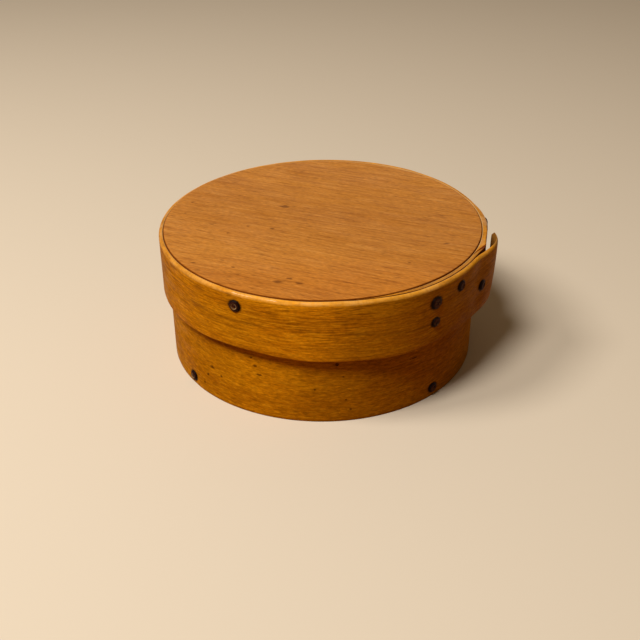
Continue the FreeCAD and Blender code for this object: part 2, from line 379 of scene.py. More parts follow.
def turnBoard(name, plan):
    # half of the board's section, turned about the axis
    radius, low, high = plan["radius"] * mm, plan["low"] * mm, plan["high"] * mm
    deselectAll()
    bpy.ops.mesh.primitive_plane_add(size=1.0, calc_uvs=False, rotation=(math.pi / 2.0, 0, 0))
    board = bpy.context.object
    board.name = name
    board.data.name = name
    bpy.ops.object.transform_apply(location=True, rotation=True, scale=True)
    bpy.ops.object.mode_set(mode="EDIT")
    bpy.ops.mesh.select_all(action="SELECT")
    bpy.ops.transform.resize(value=(radius, 1.0, high - low))
    bpy.ops.transform.translate(value=(radius / 2.0, 0.0, (high + low) / 2.0))
    pick("VERT", lambda v: v.co.x > radius - hair)
    bpy.ops.mesh.bevel(offset=plan["edge"] * mm, segments=boardWork["edgeSegments"], affect="VERTICES")
    bpy.ops.mesh.select_all(action="SELECT")
    bpy.ops.mesh.delete(type="ONLY_FACE")
    pick("EDGE", edgeAt(0, 0.0))
    bpy.ops.mesh.delete(type="EDGE")
    pick("EDGE", lambda e: abs(e.verts[0].co.x - e.verts[1].co.x) > radius / 2.0)
    bpy.ops.mesh.subdivide(number_cuts=plan["rings"])
    pick("EDGE", lambda e: abs(e.verts[0].co.z - e.verts[1].co.z) > (high - low) / 2.0)
    bpy.ops.mesh.subdivide(number_cuts=boardWork["edgeCuts"])
    bpy.ops.mesh.select_all(action="SELECT")
    bpy.ops.mesh.spin(steps=plan["steps"], angle=2.0 * math.pi, center=(0, 0, 0), axis=(0, 0, 1))
    bpy.ops.mesh.select_all(action="SELECT")
    bpy.ops.mesh.remove_doubles(threshold=hair)
    bpy.ops.mesh.normals_make_consistent(inside=False)
    bpy.ops.object.mode_set(mode="OBJECT")
    fromMiddle = board.data.attributes.new("fromMiddle", "FLOAT", "POINT")
    rim, long, wide = boardWork["rim"], boardWork["swellAlong"], boardWork["swellAcross"]
    for vertex in board.data.vertices:  # the hand-planed face and the hand-cut edge
        reach = math.hypot(vertex.co.x, vertex.co.y)
        fromMiddle.data[vertex.index].value = reach
        if reach > radius * (1.0 - rim):
            angle = math.degrees(math.atan2(vertex.co.y, vertex.co.x))
            grow = (bumps(plan["fuller"], angle) - plan["gap"] - bumps(plan["gapMore"], angle)) * mm
            share = (reach / radius - (1.0 - rim)) / rim
            vertex.co.x *= 1.0 + share * grow / radius
            vertex.co.y *= 1.0 + share * grow / radius
        swell = noise.noise(Vector((vertex.co.x * long, vertex.co.y * wide, plan["seed"]))) - 1.0
        if vertex.co.z > (low + high) / 2.0:
            vertex.co.z += plan["unevenTop"] * mm * swell * 0.5
    shadeSmooth(board, woodCrease)
    return board


lidBoard = turnBoard("lidBoardWood", lidBoardPlan)
boxBottom = turnBoard("boxBottomWood", boxBottomPlan)
print("boards turned", len(lidBoard.data.polygons), len(boxBottom.data.polygons))


tackPlan = {
    "headRadius": 2.45, "rim": 0.4, "underRim": 0.25,
    "insets": [(0.3, 0.27), (0.5, 0.3), (0.3, 0.02), (0.25, -0.22), (0.5, -0.05)],
    "shankRadius": 0.7, "shankSteps": (0.15, 0.85), "pointRadius": 0.22, "length": 9.5, "sides": 20,
    "sink": 0.1, "follow": 0.4, "seatStep": 1.5, "crease": 50.0,
    "strikes": 3, "strikeLean": (4.0, 30.0), "strikeDepth": 0.1, "strikeShare": (0.3, 1.0), "flattened": 0.9,
    "stretch": 0.05, "outOfRound": 0.07, "wanderRound": 1.1, "wanderSeed": 3.7, "wanderLess": 0.4,
    "steadyMiddle": 1.5, "pitDepth": 0.03, "pitScale": 1400.0,
    "clenchRadius": 0.5, "clenchLength": 3.4, "clenchThick": 0.5, "clenchWidth": 1.1, "clenchTip": 0.44,
    "clenchThin": 0.5, "clenchRound": 0.1, "clenchProud": 0.12, "clenchOverlap": 0.2,
}


def forgeTack(name, length, endRadius):
    # a tack on +Z with its head's underside at the origin
    plan = tackPlan
    deselectAll()
    bpy.ops.mesh.primitive_cylinder_add(vertices=plan["sides"], radius=plan["headRadius"] * mm,
                                        depth=plan["rim"] * mm, calc_uvs=False,
                                        location=(0, 0, plan["rim"] * mm / 2.0))
    tack = bpy.context.object
    tack.name = name
    bpy.ops.object.transform_apply(location=True, rotation=True, scale=True)
    bpy.ops.object.mode_set(mode="EDIT")
    pick("FACE", lambda f: f.normal.z > 0.9)
    for thickness, rise in plan["insets"]:
        bpy.ops.mesh.inset(thickness=thickness * mm, depth=rise * mm)
    pick("FACE", lambda f: f.normal.z < -0.9)
    bpy.ops.mesh.inset(thickness=plan["underRim"] * mm, depth=0.0)
    toShank = plan["headRadius"] - plan["underRim"] - plan["shankRadius"]
    bpy.ops.mesh.inset(thickness=toShank * mm, depth=0.0)
    for share in plan["shankSteps"]:
        shrink = 1.0 + (endRadius / plan["shankRadius"] - 1.0) * share
        bpy.ops.mesh.extrude_region_move(TRANSFORM_OT_translate={"value": (0, 0, -length * share * mm)})
        bpy.ops.transform.resize(value=(shrink, shrink, 1.0))
    bpy.ops.object.mode_set(mode="OBJECT")
    rounding = tack.modifiers.new("rounding", "SUBSURF")
    rounding.levels = 2
    rounding.render_levels = 2
    applyModifiers(tack)
    return tack


def hammerHead(mesh, size, seed):
    # flats from the hammer and a rim that isn't quite round
    plan = tackPlan
    fromMiddle = mesh.attributes.new("fromMiddle", "FLOAT", "POINT")
    for vertex in mesh.vertices:
        fromMiddle.data[vertex.index].value = math.hypot(vertex.co.x, vertex.co.y) / (plan["headRadius"] * mm)
    rng = random.Random(seed)
    strikes = []
    top = max(vertex.co.z for vertex in mesh.vertices)
    for _ in range(plan["strikes"]):
        lean = math.radians(rng.uniform(*plan["strikeLean"]))
        spin = rng.uniform(0.0, 2.0 * math.pi)
        facing = Vector((math.sin(lean) * math.cos(spin), math.sin(lean) * math.sin(spin), math.cos(lean)))
        crown = max(facing.dot(vertex.co) for vertex in mesh.vertices if vertex.co.z > 0.0)
        strikes.append((facing, crown - plan["strikeDepth"] * rng.uniform(*plan["strikeShare"]) * mm))
    stretch = 1.0 + rng.uniform(-plan["stretch"], plan["stretch"])
    wide = plan["wanderRound"]
    for vertex in mesh.vertices:
        if vertex.co.z < -hair:
            continue
        turn = math.atan2(vertex.co.y, vertex.co.x)
        around = Vector((math.cos(turn) * wide, math.sin(turn) * wide, seed * plan["wanderSeed"]))
        grow = size * (1.0 + plan["outOfRound"] * (noise.noise(around) - plan["wanderLess"]))
        reach = math.hypot(vertex.co.x, vertex.co.y) / (plan["headRadius"] * mm)
        grow = 1.0 + (grow - 1.0) * smooth(reach * plan["steadyMiddle"])
        vertex.co.x *= grow * stretch
        vertex.co.y *= grow / stretch
        for facing, level in strikes:
            over = facing.dot(vertex.co) - level
            if over > 0.0:
                vertex.co -= facing * over * plan["flattened"]
        pits = noise.noise(vertex.co * plan["pitScale"] + Vector((0, 0, seed)))
        vertex.co.z += plan["pitDepth"] * mm * pits * vertex.co.z / top


def bendPoint(depth):
    # the flat point that is turned down against the inner face
    plan = tackPlan
    deselectAll()
    bpy.ops.mesh.primitive_cube_add(size=1.0, calc_uvs=False)
    point = bpy.context.object
    bpy.ops.object.mode_set(mode="EDIT")
    bpy.ops.mesh.select_all(action="SELECT")
    long = plan["clenchLength"] + plan["clenchRadius"]
    bpy.ops.transform.resize(value=(long * mm, plan["clenchWidth"] * mm, plan["clenchThick"] * mm))
    bpy.ops.transform.translate(value=((long / 2.0 - plan["clenchRadius"]) * mm, 0.0,
                                       (-depth - plan["clenchThick"] / 2.0) * mm))
    tip = plan["clenchLength"] * mm
    pick("VERT", lambda v: v.co.x > tip - hair)
    shrink = plan["clenchTip"] / plan["clenchWidth"]
    bpy.ops.transform.resize(value=(1.0, shrink, plan["clenchThin"]))
    bpy.ops.mesh.select_all(action="SELECT")
    bpy.ops.mesh.subdivide(number_cuts=2)
    bpy.ops.object.mode_set(mode="OBJECT")
    rounding = point.modifiers.new("rounding", "BEVEL")
    rounding.width = plan["clenchRound"] * mm
    rounding.segments = 2
    rounding.limit_method = "ANGLE"
    rounding.angle_limit = math.radians(plan["crease"])
    applyModifiers(point)
    return point


def tackSeat(plan, angle, height):
    # where the head sits and which way it faces, on the band as it was bent
    running = runningAngle(plan["lap"], angle)
    level = (height - plan["low"]) / (plan["high"] - plan["low"])
    points = []
    for step in (-tackPlan["seatStep"], 0.0, tackPlan["seatStep"]):
        radius = faceRadius(plan, running + step, level, 1.0) - plan["dimple"]
        turn = math.radians(angle + step)
        points.append(Vector((radius * math.cos(turn), radius * math.sin(turn), 0.0)))
    along = (points[2] - points[0]).normalized()
    square = Vector((along.y, -along.x, 0.0))
    outward = (points[1].normalized() * (1.0 - tackPlan["follow"]) + square * tackPlan["follow"]).normalized()
    origin = points[1] + Vector((0, 0, height)) - outward * tackPlan["sink"]
    upward = Vector((0, 0, 1))
    # local Z points out of the wood, local X points down
    turn = Matrix((-upward, outward.cross(-upward), outward)).transposed().to_4x4()
    return Matrix.Translation(origin * mm) @ turn, outward


def setTacks(name, plan, first, count, clenched, seed):
    # a run of the band's tacks, driven into a board or clenched inside the lap
    made = []
    places = plan["tacks"][first:first + count]
    sizes = plan["headSizes"][first:first + count]
    for index, (angle, height) in enumerate(places):
        seat, outward = tackSeat(plan, angle, height)
        if clenched:
            turn = math.radians(angle)
            facing = Vector((math.cos(turn), math.sin(turn), 0.0)).dot(outward)
            origin = seat.to_translation() / mm
            through = (math.hypot(origin.x, origin.y) - plan["innerRadius"]) / facing
            through += tackPlan["clenchProud"]
            tack = forgeTack(name + str(index), through + tackPlan["clenchOverlap"], tackPlan["clenchRadius"])
        else:
            tack = forgeTack(name + str(index), tackPlan["length"], tackPlan["pointRadius"])
        hammerHead(tack.data, sizes[index], seed + index)
        tack.data.transform(Matrix.Rotation(random.Random(seed + index).uniform(0.0, 6.0), 4, "Z"))
        if clenched:
            point = bendPoint(through)
            tack = joinPieces([tack, point], tack.name)
        tack.data.transform(seat)
        made.append(tack)
    group = joinPieces(made, name)
    shadeSmooth(group, tackPlan["crease"])
    return group


lidRimTacks = setTacks("lidRimTackIron", lidBandPlan, first=0, count=6, clenched=False, seed=21)
lidLapTacks = setTacks("lidLapTackIron", lidBandPlan, first=6, count=2, clenched=True, seed=42)
boxBottomTacks = setTacks("boxBottomTackIron", boxBandPlan, first=0, count=4, clenched=False, seed=63)
boxLapTacks = setTacks("boxLapTackIron", boxBandPlan, first=4, count=3, clenched=True, seed=84)
print("tacks set", [len(p.data.polygons) for p in (lidRimTacks, lidLapTacks, boxBottomTacks, boxLapTacks)])


def ink(red, green, blue):
    # a colour written as it should look, 0 to 255
    linear = []
    for part in (red, green, blue):
        share = part / 255.0
        linear.append(share / 12.92 if share <= 0.04045 else ((share + 0.055) / 1.055) ** 2.4)
    return (*linear, 1.0)


finishIor = 1.45
midNoise = (0.3, 0.7)  # a noise mostly lies between these


class Nodes:
    # lays shader nodes in one tree

    def __init__(self, tree):
        self.tree = tree

    def feed(self, socket, value):
        if isinstance(value, bpy.types.NodeSocket):
            self.tree.links.new(value, socket)
        else:
            socket.default_value = value

    def node(self, kind, **settings):
        made = self.tree.nodes.new("ShaderNode" + kind)
        for key, value in settings.items():
            setattr(made, key, value)
        return made

    def vector(self, operation, a, b=None):
        made = self.node("VectorMath", operation=operation)
        self.feed(made.inputs[0], a)
        if b is not None:
            self.feed(made.inputs[1], b)
        return made.outputs["Value" if operation == "LENGTH" else "Vector"]

    def math(self, operation, first, *others):
        # one operation, carried on over all that follows
        for other in others or (0.0,):
            made = self.node("Math", operation=operation)
            self.feed(made.inputs[0], first)
            self.feed(made.inputs[1], other)
            first = made.outputs[0]
        return first

    def times(self, *values):
        return self.math("MULTIPLY", *values)

    def plus(self, *values):
        return self.math("ADD", *values)

    def most(self, *values):
        return self.math("MAXIMUM", *values)

    def away(self, a, b):
        return self.math("ABSOLUTE", self.math("SUBTRACT", a, b))

    def noise(self, place, stretch, detail=2.0, rough=0.5, distortion=0.0):
        made = self.node("TexNoise")
        self.feed(made.inputs["Vector"], self.vector("MULTIPLY", place, stretch))
        made.inputs["Scale"].default_value = 1.0
        made.inputs["Detail"].default_value = detail
        made.inputs["Roughness"].default_value = rough
        made.inputs["Distortion"].default_value = distortion
        return made.outputs["Fac"]

    def span(self, value, low, high, start=0.0, end=1.0, kind="SMOOTHSTEP"):
        made = self.node("MapRange", interpolation_type=kind)
        for name, part in (("Value", value), ("From Min", low), ("From Max", high),
                           ("To Min", start), ("To Max", end)):
            self.feed(made.inputs[name], part)
        return made.outputs["Result"]

    def blend(self, share, a, b, kind="MIX"):
        made = self.node("Mix", data_type="RGBA", blend_type=kind)
        for index, value in ((0, share), (6, a), (7, b)):
            self.feed(made.inputs[index], value)
        return made.outputs[2]

    def gain(self, colour, factor):
        made = self.node("VectorMath", operation="SCALE")
        self.feed(made.inputs[0], colour)
        self.feed(made.inputs["Scale"], factor)
        return made.outputs["Vector"]

    def tone(self, value, share):
        # a factor round 1 that follows a noise
        return self.span(value, 0.25, 0.75, 1.0 - share, 1.0 + share, "LINEAR")

    def split(self, place):
        made = self.node("SeparateXYZ")
        self.feed(made.inputs[0], place)
        return made.outputs

    def join(self, *parts):
        made = self.node("CombineXYZ")
        for socket, value in zip(made.inputs, parts):
            self.feed(socket, value)
        return made.outputs[0]

    def drifted(self, place, scale, reach):
        # lets the grain wander across its own run by up to half the reach, and gives the new Y too
        x, y, z = self.split(place)
        wavy = self.plus(y, self.times(self.math("SUBTRACT", self.noise(place, scale), 0.5), reach * mm))
        return self.join(x, wavy, z), wavy

    def spots(self, place, marks):
        # nearness to the closest mark, each as (x, y, half length, half width) in metres
        nearest = None
        for x, y, long, wide in marks:
            toMark = self.vector("SUBTRACT", place, (x, y, 0.0))
            reach = self.vector("LENGTH", self.vector("MULTIPLY", toMark, (1.0 / long, 1.0 / wide, 0.0)))
            nearest = reach if nearest is None else self.math("MINIMUM", nearest, reach)
        return nearest

    def showsStage(self):
        # 1 for the rays that show the pale floor and room: from the camera, a gloss or glass
        rays = self.node("LightPath").outputs
        return self.most(rays["Is Camera Ray"], rays["Is Glossy Ray"], rays["Is Transmission Ray"])


class Finish(Nodes):
    # the nodes of one material, with the plan and the look of what it covers

    def __init__(self, name, look=None, plan=None):
        self.material = bpy.data.materials.new(name)
        self.material.use_nodes = True
        super().__init__(self.material.node_tree)
        self.tree.nodes.clear()
        self.output = self.node("OutputMaterial")
        self.look = look
        self.plan = plan

    def read(self, attribute):
        outputs = self.node("Attribute", attribute_name=attribute).outputs
        return outputs["Vector" if attribute == "woodPlace" else "Fac"]

    def objectPlace(self):
        return self.node("TexCoord").outputs["Object"]

    def wash(self, colour, name, value, low, high, within=None):
        # lays the look's colour of that name on, more and more from low to high
        share = self.span(value, low, high, 0.0, self.look[name + "Share"])
        if within is not None:
            share = self.times(share, within)
        return self.blend(share, colour, self.look[name])

    def bump(self, height, distance, onTop=None):
        made = self.node("Bump")
        made.inputs["Strength"].default_value = 1.0
        made.inputs["Distance"].default_value = distance
        self.feed(made.inputs["Height"], height)
        if onTop is not None:
            self.feed(made.inputs["Normal"], onTop)
        return made.outputs["Normal"]

    def shade(self, colour, roughness, normal, coat=0.0, **fixed):
        shader = self.node("BsdfPrincipled")
        self.feed(shader.inputs["Coat Weight"], coat)
        self.feed(shader.inputs["Base Color"], colour)
        self.feed(shader.inputs["Roughness"], roughness)
        if normal is not None:
            self.feed(shader.inputs["Normal"], normal)
        for name, value in fixed.items():
            shader.inputs[name.replace("_", " ")].default_value = value
        self.tree.links.new(shader.outputs[0], self.output.inputs["Surface"])
        return self.material


bandWear = {  # the same on both bands: where wear, stains, dirt, the painted highlight on the upper edge and the darkening along the foot begin and where they are full
    "calmOver": 8.0, "rubFrom": (-24.0, -15.0), "lapRubFrom": (20.0, 34.0), "handledAndLit": (160.0, 250.0),
    "bareFrom": (-66.0, -46.0), "bareFades": (30.0, 100.0), "bareUntil": (195.0, 235.0), "lapShade": 4.0,
    "top": (0.9, 0.2), "seam": (0.05, 0.3), "lapSeam": (1.1, 1.4), "foot": (0.1, 0.6),
    "endGrain": (14.0, 11.0), "stainLong": 3.2, "stainTall": 2.85, "stainRagged": 0.35,
    "veinStart": (4.0, 10.0), "veinEnd": (12.0, 4.0), "crackEnds": 1.0, "crackThin": 0.4, "crackBare": 0.1,
    "broadScale": (8, 80, 60), "breakScale": (90, 700, 100), "fleckScale": (900, 900, 0),
    "stainScale": (200, 1400, 0), "wornScale": (130, 500, 300), "tickScale": (1100, 150, 150),
    "frayScale": (160, 1, 2600), "glossScale": (90, 300, 60), "coatRough": 0.2,
}


def roundTo(f, start, end, low=0.0, high=1.0):
    # goes from low to high between two running angles
    return f.span(f.x, alongAt(f.plan, start), alongAt(f.plan, end), low, high)


def growBandGrain(f, streaks, fibres):
    # light and dark lengths, clouds, streaks and fibres, and stretches of painted light and shade;
    # the lid's dark streaks are sparser low down and on the lap
    plan, look = f.plan, f.look
    overLap = plan["lap"]["innerEnd"] + fullTurn
    dense = f.times(f.span(f.y, look["denseFrom"] * mm, look["denseTo"] * mm, look["sparse"], 1.0),
                    roundTo(f, overLap, overLap + bandWear["calmOver"], 1.0, look["lapCalm"]))
    broad = f.noise(f.grain, bandWear["broadScale"])
    colour = f.blend(f.span(broad, *midNoise), look["dark"], look["light"])
    colour = f.wash(colour, "cloud", f.noise(f.place, look["cloudScale"], 3.0, 0.55), 0.35, 0.75)
    colour = f.wash(colour, "deep", f.noise(f.grain, look["deepScale"]), 0.42, 0.7, dense)
    colour = f.wash(colour, "pale", streaks, 0.5, 0.3)
    colour = f.wash(colour, "streak", streaks, 0.5, 0.68, dense)
    ripples = f.noise(f.place, look["rippleScale"], 2.0, 0.6, 0.5)
    colour = f.gain(colour, f.times(f.tone(fibres, look["fibreTone"]), f.tone(ripples, look["rippleTone"])))
    for angle, width, gained in look["lightAndShadeStretches"]:  # painted light and shade: lighter at the front, darker towards the right and at the far left
        reach = math.radians(width) * plan["innerRadius"] * mm
        away = f.away(f.x, outerAlong(plan, angle))
        colour = f.gain(colour, f.span(away, 0.0, reach, 1.0 + gained, 1.0))
    return colour


def drawVeins(f, colour):
    # long dark veins, each along a broken line of (angle, height)
    for vein in f.look["veins"]:
        points = [(outerAlong(f.plan, angle), height * mm) for angle, height in vein["line"]]
        line = points[0][1]
        for (x1, y1), (x2, y2) in zip(points, points[1:]):
            line = f.plus(line, f.span(f.x, x1, x2, 0.0, y2 - y1))
        (before, full), (fade, gone) = bandWear["veinStart"], bandWear["veinEnd"]
        start, end = points[0][0], points[-1][0]
        share = f.times(
            f.span(f.away(f.wavy, line), 0.0, vein["width"] * mm, vein["share"], 0.0),
            f.span(f.x, start - before * mm, start + full * mm),
            f.span(f.x, end - fade * mm, end + gone * mm, 1.0, 0.0),
            f.span(f.noise(f.grain, bandWear["breakScale"]), 0.38, 0.58))
        colour = f.blend(share, colour, f.look["vein"])
    return colour


def stainWood(f, colour):
    # dark flecks in the wood, and iron stain round each tack, drawn out along the grain
    plan, look, wear = f.plan, f.look, bandWear
    if look["flecks"]:
        flecks = [(outerAlong(plan, a), h * mm, l * mm, w * mm) for a, h, l, w in look["flecks"]]
        ragged = f.span(f.noise(f.place, wear["fleckScale"]), *midNoise, 0.6, 1.5)
        colour = f.wash(colour, "fleck", f.times(f.spots(f.place, flecks), ragged), 1.2, 0.4)
    long, tall = wear["stainLong"], wear["stainTall"]
    stains = [(outerAlong(plan, angle), height * mm, long * size * mm, tall * size * mm)
              for (angle, height), size in zip(plan["tacks"], plan["headSizes"])]
    ragged = f.times(f.noise(f.grain, wear["stainScale"]), wear["stainRagged"])
    return f.wash(colour, "stain", f.plus(f.spots(f.place, stains), ragged), 1.28, 0.9)


def rubAndLightEdge(f, colour):
    # the upper outer edge is rubbed pale and carries a painted highlight, palest at the front where the light
    # catches it, and less along the lap
    plan, look, wear = f.plan, f.look, bandWear
    overLap = plan["lap"]["innerEnd"] + fullTurn
    lapRub = [overLap + angle for angle in wear["lapRubFrom"]]
    worn = f.noise(f.place, wear["wornScale"])
    ticks = f.noise(f.place, wear["tickScale"])
    rubbedAndLit = f.times(
        f.span(f.y, (plan["high"] - look["rubDepth"]) * mm, (plan["high"] - 0.5 * look["rubDepth"]) * mm),
        roundTo(f, *wear["rubFrom"], look["lapRub"], 1.0),
        roundTo(f, *lapRub, look["rubShare"], look["lapRub"]),
        f.span(worn, 0.3, 0.65, 0.4, 1.0), f.span(ticks, 0.35, 0.6, 0.65, 1.0))
    # worn pale wood with a painted highlight, paler towards the front
    pale = f.blend(roundTo(f, *wear["handledAndLit"]), look["rubbedAndLitBack"], look["rubbedAndLit"])
    return f.blend(rubbedAndLit, colour, pale), f.times(rubbedAndLit, f.span(worn, 0.5, 0.62, 0.0, look["polish"]))


def bareAndDirty(f):
    # shares of bare fibres on the upper edge, of dirt in seams and cracks, and of darkening along the foot
    plan, look, wear = f.plan, f.look, bandWear
    lapFrom = plan["lap"]["outerEnd"]
    atTop = f.span(f.y, *[(plan["high"] - depth) * mm for depth in wear["top"]])
    frayed = f.span(f.noise(f.place, wear["frayScale"]), 0.35, 0.65, 0.5, 1.0)
    bare = f.times(
        atTop, frayed, look["bareTop"], roundTo(f, *wear["bareFrom"], 0.2, 1.0),
        roundTo(f, *[lapFrom + angle for angle in wear["bareFades"]], 1.0, 0.6),
        roundTo(f, *wear["bareUntil"], 1.0, 0.0))
    dirty = f.most(
        f.times(f.span(f.z, *[depth * mm for depth in wear["seam"]], look["seamShare"], 0.0), atTop),
        f.times(f.span(f.z, *[depth * mm for depth in wear["lapSeam"]], 0.0, look["seamShare"]),
                roundTo(f, lapFrom, lapFrom + wear["lapShade"], 1.0, 0.0)),
        # the wood is darker along its lower edge
        f.span(f.y, *[(plan["low"] + height) * mm for height in wear["foot"]], look["footDarkening"], 0.0))
    for crack in look["cracks"]:  # a dark line over the top, from one (angle, depth) to another
        (a1, z1), (a2, z2) = crack["line"]
        x1, x2 = alongAt(plan, a1), alongAt(plan, a2)
        beyond = f.math("SUBTRACT", f.z, f.span(f.x, x1, x2, z1 * mm, z2 * mm, "LINEAR"))
        thin, ends = wear["crackThin"] * crack["width"] * mm, wear["crackEnds"] * mm
        width = f.span(f.x, x1, x2, thin, crack["width"] * mm, "LINEAR")
        near = f.math("DIVIDE", f.math("ABSOLUTE", beyond), width)
        share = f.times(f.span(near, 0.5, 1.0, 1.0, 0.0), f.span(f.x, x1 - ends, x1),
                        f.span(f.x, x2, x2 + ends, 1.0, 0.0), atTop)
        dirty = f.most(dirty, share)
        bare = f.times(bare, f.span(beyond, 0.0, wear["crackBare"] * mm))  # bare only outside the crack
    lapEnd = alongAt(plan, lapFrom + fullTurn)
    endGrain = f.span(f.x, *[lapEnd - back * mm for back in wear["endGrain"]], 0.0, look["endShare"])
    return f.most(bare, f.times(atTop, endGrain)), dirty


def bandFinish(name, plan, look):
    # varnished strip: the grain runs along X of the flat wood
    f = Finish(name, look, plan)
    f.place = f.read("woodPlace")
    f.x, f.y, f.z = f.split(f.place)
    f.grain, f.wavy = f.drifted(f.place, look["driftScale"], look["drift"])
    streaks = f.noise(f.grain, look["streakScale"], 2.0, 0.55)
    fibres = f.noise(f.grain, look["fibreScale"], 1.0)
    colour = stainWood(f, drawVeins(f, growBandGrain(f, streaks, fibres)))
    colour, polish = rubAndLightEdge(f, colour)
    bare, dirty = bareAndDirty(f)
    colour = f.blend(dirty, f.blend(bare, colour, look["bare"]), look["dirt"])
    gloss = f.span(f.noise(f.place, bandWear["glossScale"], 3.0), *midNoise, *look["gloss"])
    roughness = f.plus(gloss, f.times(f.most(dirty, bare), 0.4))
    relief = f.plus(f.times(fibres, 0.5), f.times(streaks, 0.8))
    normal = f.bump(relief, look["relief"] * mm)
    normal = f.bump(f.noise(f.place, look["swellScale"]), look["swell"] * mm, normal)
    return f.shade(colour, roughness, normal, polish, IOR=finishIor,
                   Specular_IOR_Level=look["shine"], Coat_Roughness=bandWear["coatRough"])


lidBandLook = {
    "light": ink(207, 134, 8), "dark": ink(180, 109, 4), "deep": ink(144, 84, 1), "streak": ink(109, 57, 0),
    "pale": ink(223, 152, 25), "cloud": ink(184, 102, 3), "vein": ink(92, 44, 1), "stain": ink(34, 14, 3),
    # rubbedAndLit colours: worn pale wood with a painted highlight
    "rubbedAndLit": ink(221, 158, 70), "rubbedAndLitBack": ink(187, 129, 58), "dirt": ink(98, 38, 2),
    "bare": ink(150, 108, 56),
    "driftScale": (16, 45, 0), "drift": 2.0, "streakScale": (130, 1350, 700), "deepScale": (24, 380, 200),
    "cloudScale": (34, 60, 30), "fibreScale": (450, 2600, 1200), "rippleScale": (700, 1250, 700),
    "denseFrom": 36.0, "denseTo": 44.0, "sparse": 0.55, "deepShare": 0.55, "streakShare": 0.6,
    "paleShare": 0.4, "cloudShare": 0.45, "fibreTone": 0.22, "rippleTone": 0.2,
    # painted light and shade round the band, each as (angle, width, gain)
    "lightAndShadeStretches": [(-95.0, 26.0, 0.26), (-58.0, 36.0, -0.2), (-28.0, 34.0, -0.2), (2.0, 28.0, -0.3),
                  (190.0, 28.0, -0.25)],
    "lapCalm": 0.5, "lapRub": 0.25, "stainShare": 0.9, "rubShare": 0.8, "rubDepth": 1.5, "polish": 0.5,
    "footDarkening": 0.35, "seamShare": 0.9, "bareTop": 0.8, "endShare": 0.8,
    "veins": [
        {"line": [(-147.5, 43.6), (-133.0, 42.1), (-122.0, 41.1), (-101.0, 41.9), (-90.0, 41.0),
                  (-68.0, 38.6), (-50.0, 37.0)], "width": 1.3, "share": 0.5},
        {"line": [(-150.0, 39.2), (-126.0, 38.1), (-112.0, 38.3)], "width": 0.8, "share": 0.35},
        {"line": [(40.0, 39.0), (100.0, 41.0), (120.0, 40.0)], "width": 1.3, "share": 0.45},
    ],
    "flecks": [], "cracks": [{"line": [(-28.0, 0.1), (-17.5, 1.6)], "width": 0.4}],
    "gloss": (0.4, 0.6), "shine": 0.03, "relief": 0.07, "swellScale": (70, 130, 60), "swell": 0.25,
}
boxBandLook = {
    "light": ink(192, 123, 7), "dark": ink(171, 103, 3), "deep": ink(146, 84, 1), "streak": ink(117, 66, 0),
    "pale": ink(207, 139, 21), "cloud": ink(157, 88, 2), "fleck": ink(58, 20, 2), "stain": ink(34, 14, 3),
    # rubbedAndLit colours: worn pale wood with a painted highlight
    "rubbedAndLit": ink(196, 130, 40), "rubbedAndLitBack": ink(190, 126, 40), "dirt": ink(40, 16, 3),
    "bare": ink(170, 116, 58),
    "driftScale": (60, 160, 0), "drift": 2.4, "streakScale": (200, 1150, 700), "deepScale": (60, 240, 200),
    "cloudScale": (70, 110, 30), "fibreScale": (450, 2400, 1200), "rippleScale": (500, 1050, 700),
    "denseFrom": 0.0, "denseTo": 1.0, "sparse": 1.0, "deepShare": 0.3, "streakShare": 0.32,
    "paleShare": 0.4, "cloudShare": 0.4, "fibreTone": 0.2, "rippleTone": 0.26,
    # painted light and shade round the band, each as (angle, width, gain)
    "lightAndShadeStretches": [(-108.0, 26.0, 0.18), (-72.0, 20.0, -0.04), (-30.0, 44.0, -0.05), (192.0, 24.0, -0.16)],
    "lapCalm": 1.0, "lapRub": 0.35, "stainShare": 0.9, "rubShare": 0.35, "rubDepth": 1.0, "polish": 0.0,
    "footDarkening": 0.35, "seamShare": 0.6, "bareTop": 0.3, "endShare": 0.0, "veins": [],
    "flecks": [(-132.3, 14.1, 1.0, 0.8), (-134.9, 9.2, 0.8, 0.7), (-137.4, 4.3, 0.6, 0.6),
               (-128.0, 11.7, 0.7, 0.5), (-113.3, 22.0, 1.0, 0.6), (-111.9, 18.2, 1.1, 0.5),
               (-114.9, 25.2, 0.9, 0.4), (-92.5, 14.6, 0.5, 0.4), (-82.9, 20.1, 0.5, 0.4),
               (-82.0, 9.7, 0.6, 0.45), (-80.3, 5.3, 0.5, 0.4), (-56.7, 21.8, 2.0, 0.4),
               (60.0, 18.0, 0.7, 0.6), (120.0, 25.0, 0.9, 0.5), (170.0, 12.0, 0.7, 0.6)],
    "fleckShare": 0.75, "cracks": [],
    "gloss": (0.42, 0.62), "shine": 0.02, "relief": 0.05, "swellScale": (60, 90, 60), "swell": 0.2,
}


def bareFinish(name, look):
    # the unvarnished inner face of a band
    f = Finish(name, look)
    place = f.read("woodPlace")
    fine = f.noise(place, look["fineScale"], 3.0, 0.6)
    mid = f.noise(place, look["midScale"], 3.0)
    colour = f.blend(f.span(mid, *midNoise), look["dark"], look["light"])
    colour = f.wash(colour, "streak", fine, 0.48, 0.72)
    colour = f.wash(colour, "cloud", f.noise(place, look["cloudScale"], 3.0), 0.4, 0.75)
    along = f.split(place)[0]
    colour = f.wash(colour, "aged", along, look["agedFrom"] - look["agedFade"] * mm, look["agedFrom"])
    return f.shade(colour, f.span(mid, *midNoise, *look["gloss"]), f.bump(fine, look["relief"] * mm),
                   IOR=finishIor, Specular_IOR_Level=look["shine"])


